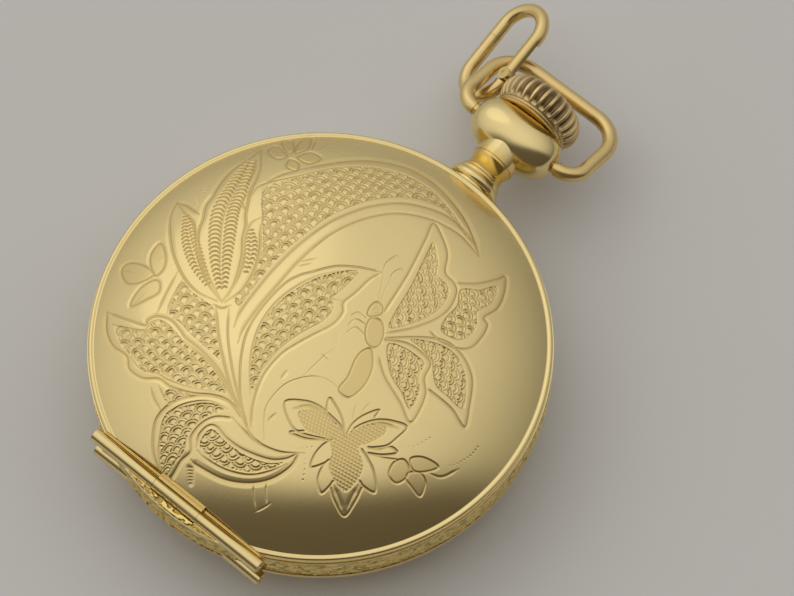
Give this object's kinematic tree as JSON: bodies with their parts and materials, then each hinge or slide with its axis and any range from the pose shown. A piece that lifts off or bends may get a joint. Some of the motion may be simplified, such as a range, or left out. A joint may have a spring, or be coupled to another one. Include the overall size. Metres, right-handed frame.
{
  "type": "fob watch",
  "caption": "Gold hunter-case fob watch: engraved domed lid, hinged back and inner cover, fluted winding crown, swinging bow with snap ring, enamel dial and lever movement.",
  "frame": {"origin": "centre of the small flat on the back lid that the watch lies on, on the axis of the dial", "axes": "+Z out through the front lid, +Y towards the pendant and crown, +X to the right with the pendant up, seen from the front; the lid hinges are at -Y"},
  "size_m": [0.0412, 0.0601, 0.014],
  "materials": {
    "gold": "polished and engraved, gold filled",
    "hinge_gold": "drawn wire",
    "glass": "polished",
    "enamel": "white enamel",
    "blued_steel": "blued and polished",
    "gilt": "gilt and grained",
    "steel": "polished",
    "ruby": "polished ruby"
  },
  "bodies": {
    "case": {"case_middle": "gold", "bezel": "gold", "crystal": "glass", "front_hinge_pin": "hinge_gold", "back_hinge_pin": "hinge_gold", "pendant": "gold", "pendant_sleeve": "steel", "fly_spring": "steel", "dial": "enamel", "main_plate": "gilt", "barrel_bridge": "gilt", "train_bridge": "gilt", "pallet_bridge": "gilt", "balance_cock": "gilt", "click_spring": "steel", "hairspring": "blued_steel", "jewels": "ruby", "bridge_screws": "blued_steel", "click_screw": "blued_steel", "case_screws": "blued_steel"},
    "front_lid": {"front_lid": "gold"},
    "back_lid": {"back_lid": "gold"},
    "cuvette": {"cuvette": "gold"},
    "winder": {"winding_pinion": "steel"},
    "crown": {"crown": "gold", "stem": "steel"},
    "crown_wheel": {"crown_wheel": "steel", "crown_wheel_screw": "blued_steel"},
    "ratchet": {"ratchet_wheel": "steel", "barrel_arbor": "steel", "ratchet_screw": "blued_steel"},
    "center": {"center_wheel": "gilt", "cannon_pinion": "steel", "minute_hand": "blued_steel"},
    "third": {"third_wheel": "gilt"},
    "fourth": {"fourth_wheel": "gilt", "seconds_hand": "blued_steel"},
    "escape": {"escape_wheel": "steel"},
    "barrel": {"barrel": "gilt", "barrel_cover": "gilt", "mainspring": "steel"},
    "minute_wheel": {"minute_wheel": "gilt"},
    "hour": {"hour_wheel": "gilt", "hour_hand": "blued_steel"},
    "pallets": {"pallet_fork": "steel"},
    "balance": {"balance_wheel": "gilt", "balance_staff": "steel"},
    "regulator": {"regulator": "steel"},
    "bow": {"bow": "gold"},
    "ring": {"ring_hook": "gold", "ring_pin": "hinge_gold"},
    "gate": {"ring_gate": "gold"},
    "click": {"click": "steel"},
    "lock_spring": {"lock_spring": "steel"}
  },
  "joints": [
    {"name": "front_lid_hinge", "type": "hinge", "parent": "case", "child": "front_lid", "pos_m": [0, -0.0192, 0.00855], "axis": [1, 0, 0], "range_deg": [0, 95]},
    {"name": "back_lid_hinge", "type": "hinge", "parent": "case", "child": "back_lid", "pos_m": [0, -0.0192, 0.00525], "axis": [-1, 0, 0], "range_deg": [0, 95]},
    {"name": "cuvette_hinge", "type": "hinge", "parent": "case", "child": "cuvette", "pos_m": [0, -0.0192, 0.00525], "axis": [-1, 0, 0], "range_deg": [0, 90]},
    {"name": "winding", "type": "hinge", "parent": "case", "child": "winder", "pos_m": [0, 0.0119, 0.0069], "axis": [0, 1, 0], "continuous": true},
    {"name": "crown_pull", "type": "slide", "parent": "winder", "child": "crown", "axis": [0, 1, 0], "range_m": [0, 0.0008]},
    {"name": "crown_wheel_turn", "type": "hinge", "parent": "case", "child": "crown_wheel", "pos_m": [0, 0.00953, 0.00305], "axis": [0, 0, 1], "continuous": true},
    {"name": "ratchet_turn", "type": "hinge", "parent": "case", "child": "ratchet", "pos_m": [-0.00653, 0.00304, 0.00305], "axis": [0, 0, 1], "continuous": true},
    {"name": "center_turn", "type": "hinge", "parent": "case", "child": "center", "pos_m": [0, 0, 0.0044], "axis": [0, 0, -1], "continuous": true},
    {"name": "third_turn", "type": "hinge", "parent": "case", "child": "third", "pos_m": [0.00461, 0.00322, 0.0055], "axis": [0, 0, -1], "continuous": true},
    {"name": "fourth_turn", "type": "hinge", "parent": "case", "child": "fourth", "pos_m": [0.008, 0, 0.0048], "axis": [0, 0, -1], "continuous": true},
    {"name": "escape_turn", "type": "hinge", "parent": "case", "child": "escape", "pos_m": [0.00865, -0.00368, 0.0055], "axis": [0, 0, -1], "continuous": true},
    {"name": "barrel_turn", "type": "hinge", "parent": "case", "child": "barrel", "pos_m": [-0.00653, 0.00304, 0.0053], "axis": [0, 0, -1], "continuous": true},
    {"name": "minute_wheel_turn", "type": "hinge", "parent": "case", "child": "minute_wheel", "pos_m": [-0.00164, -0.00451, 0.0075], "axis": [0, 0, -1], "continuous": true},
    {"name": "hour_turn", "type": "hinge", "parent": "case", "child": "hour", "pos_m": [0, 0, 0.008], "axis": [0, 0, -1], "continuous": true},
    {"name": "pallet_beat", "type": "hinge", "parent": "case", "child": "pallets", "pos_m": [0.00669, -0.00564, 0.0055], "axis": [0, 0, 1], "range_deg": [-4, 4]},
    {"name": "balance_swing", "type": "hinge", "parent": "case", "child": "balance", "pos_m": [0.00372, -0.00861, 0.004], "axis": [0, 0, 1], "range_deg": [-270, 270], "stiffness_Nm_per_rad": 0.0000002},
    {"name": "regulator_turn", "type": "hinge", "parent": "case", "child": "regulator", "pos_m": [0.00372, -0.00861, 0.0026], "axis": [0, 0, 1], "range_deg": [-18, 18]},
    {"name": "bow_swing", "type": "hinge", "parent": "case", "child": "bow", "pos_m": [0, 0.0273, 0.0069], "axis": [1, 0, 0], "range_deg": [-75, 115]},
    {"name": "ring_swing", "type": "hinge", "parent": "bow", "child": "ring", "pos_m": [0, 0.034, 0.005], "axis": [1, 0, 0], "range_deg": [0, 60]},
    {"name": "gate_swing", "type": "hinge", "parent": "ring", "child": "gate", "pos_m": [-0.00496, 0.03215, 0.00583], "axis": [-0.5299, -0.2052, 0.8229], "range_deg": [0, 18]},
    {"name": "click_lift", "type": "hinge", "parent": "case", "child": "click", "pos_m": [-0.01218, -0.00091, 0.0032], "axis": [0, 0, 1], "range_deg": [0, 8], "stiffness_Nm_per_rad": 0.000001},
    {"name": "lock_press", "type": "slide", "parent": "case", "child": "lock_spring", "axis": [0, -1, 0], "range_m": [0, 0.0002], "stiffness_N_per_m": 500}
  ],
  "couplings": [
    {"joint": "cuvette_hinge", "follows": "back_lid_hinge", "ratio": 0.85},
    {"joint": "crown_wheel_turn", "follows": "winding", "ratio": 0.4},
    {"joint": "ratchet_turn", "follows": "winding", "ratio": -0.25714},
    {"joint": "third_turn", "follows": "center_turn", "ratio": -8},
    {"joint": "fourth_turn", "follows": "center_turn", "ratio": 60},
    {"joint": "escape_turn", "follows": "center_turn", "ratio": -600},
    {"joint": "barrel_turn", "follows": "center_turn", "ratio": -0.15385},
    {"joint": "minute_wheel_turn", "follows": "center_turn", "ratio": -0.33333},
    {"joint": "hour_turn", "follows": "center_turn", "ratio": 0.083333}
  ]
}
